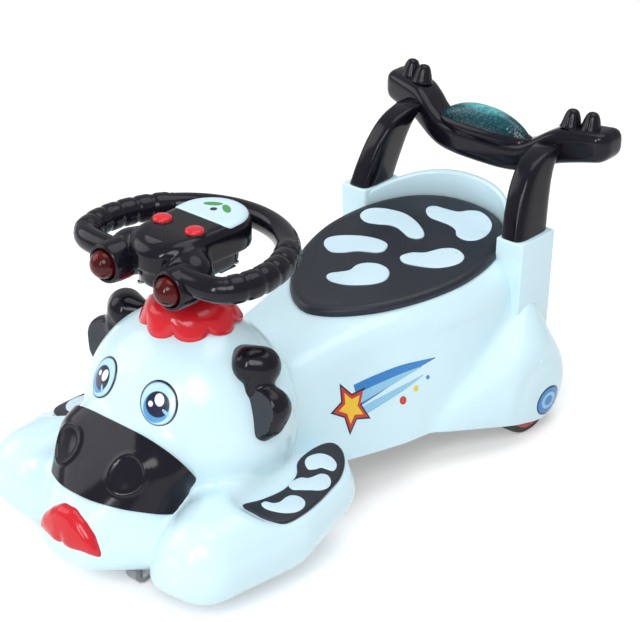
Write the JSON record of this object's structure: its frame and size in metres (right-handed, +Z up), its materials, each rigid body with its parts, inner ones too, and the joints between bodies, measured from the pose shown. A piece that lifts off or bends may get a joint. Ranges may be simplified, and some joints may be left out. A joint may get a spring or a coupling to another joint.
{
  "type": "wiggle car",
  "caption": "Ride-on wiggle car shaped as a lying cow: a steering wheel on the head swings the front wheels, with footrests, a flat seat and a rear push bar.",
  "frame": {"origin": "on the ground under the middle of the car's box", "axes": "+X to the car's left, +Y to its rear, +Z up; it drives towards -Y"},
  "size_m": [0.394, 0.8083, 0.39],
  "materials": {
    "shell_pale": "smooth moulded gloss",
    "moulded_dark": "semi-gloss moulded",
    "slab_dark": "fine satin grain",
    "red_gloss": "gloss",
    "lens_teal": "clear coloured plastic with an inner prism pattern",
    "lens_red": "clear coloured plastic",
    "frame_grey": "plain moulded",
    "bearing_white": "plain nylon",
    "steel_plain": "drawn",
    "screw_zinc": "zinc plated",
    "hub_red": "plain moulded",
    "tyre_black": "matte",
    "roller_grey": "plain moulded",
    "board_green": "solder mask",
    "cell_brass": "printed sleeve, plain"
  },
  "bodies": {
    "body": {"upper_shell": "shell_pale", "base_pan": "frame_grey", "muzzle": "moulded_dark", "tongue": "red_gloss", "ear_left": "moulded_dark", "ear_right": "moulded_dark", "collar": "red_gloss", "seat_panel": "slab_dark", "seat_spots": "shell_pale", "foot_panel_left": "slab_dark", "foot_panel_right": "slab_dark", "foot_spots": "shell_pale", "post_left": "moulded_dark", "post_right": "moulded_dark", "backrest_bar": "moulded_dark", "backrest_lens": "lens_teal", "grip_knobs": "moulded_dark", "steering_housing": "frame_grey", "upper_bush": "bearing_white", "lower_bush": "bearing_white", "rear_axle": "steel_plain", "rear_brackets": "frame_grey", "axle_spacers": "bearing_white", "rear_caps": "red_gloss", "roller_brackets": "steel_plain", "roller_pins": "steel_plain", "shell_screws": "screw_zinc", "backrest_screws": "screw_zinc", "bracket_screws": "screw_zinc", "housing_screws": "screw_zinc"},
    "steering": {"steering_column": "steel_plain", "column_clip": "steel_plain", "front_yoke": "frame_grey", "front_axle": "steel_plain", "front_caps": "frame_grey", "wheel_upper": "moulded_dark", "wheel_lower": "moulded_dark", "hub_panel": "shell_pale", "lamp_lenses": "lens_red", "lamp_leds": "bearing_white", "speaker": "frame_grey", "circuit_board": "board_green", "switches": "frame_grey", "batteries": "cell_brass", "battery_cover": "frame_grey", "wheel_screws": "screw_zinc", "column_bolt": "screw_zinc"},
    "front_wheel_left": {"front_hub_left": "hub_red", "front_tyre_left": "tyre_black"},
    "rear_wheel_left": {"rear_hub_left": "hub_red", "rear_tyre_left": "tyre_black"},
    "roller_left": {"roller_left": "roller_grey"},
    "button_left": {"button_left": "red_gloss"},
    "front_wheel_right": {"front_hub_right": "hub_red", "front_tyre_right": "tyre_black"},
    "rear_wheel_right": {"rear_hub_right": "hub_red", "rear_tyre_right": "tyre_black"},
    "roller_right": {"roller_right": "roller_grey"},
    "button_right": {"button_right": "red_gloss"}
  },
  "joints": [
    {"name": "steering_turn", "type": "hinge", "parent": "body", "child": "steering", "pos_m": [0, -0.2, 0.2], "axis": [0, 0, 1], "continuous": true},
    {"name": "front_wheel_left_roll", "type": "hinge", "parent": "steering", "child": "front_wheel_left", "pos_m": [0.0255, -0.245, 0.042], "axis": [1, 0, 0], "continuous": true},
    {"name": "rear_wheel_left_roll", "type": "hinge", "parent": "body", "child": "rear_wheel_left", "pos_m": [0.162, 0.238, 0.05], "axis": [1, 0, 0], "continuous": true},
    {"name": "roller_left_roll", "type": "hinge", "parent": "body", "child": "roller_left", "pos_m": [0.046, -0.322, 0.018], "axis": [1, 0, 0], "continuous": true},
    {"name": "button_left_press", "type": "slide", "parent": "steering", "child": "button_left", "axis": [0, 0, -1], "range_m": [0, 0.002], "stiffness_N_per_m": 600},
    {"name": "front_wheel_right_roll", "type": "hinge", "parent": "steering", "child": "front_wheel_right", "pos_m": [-0.0255, -0.245, 0.042], "axis": [1, 0, 0], "continuous": true},
    {"name": "rear_wheel_right_roll", "type": "hinge", "parent": "body", "child": "rear_wheel_right", "pos_m": [-0.162, 0.238, 0.05], "axis": [1, 0, 0], "continuous": true},
    {"name": "roller_right_roll", "type": "hinge", "parent": "body", "child": "roller_right", "pos_m": [-0.046, -0.322, 0.018], "axis": [1, 0, 0], "continuous": true},
    {"name": "button_right_press", "type": "slide", "parent": "steering", "child": "button_right", "axis": [0, 0, -1], "range_m": [0, 0.002], "stiffness_N_per_m": 600}
  ]
}
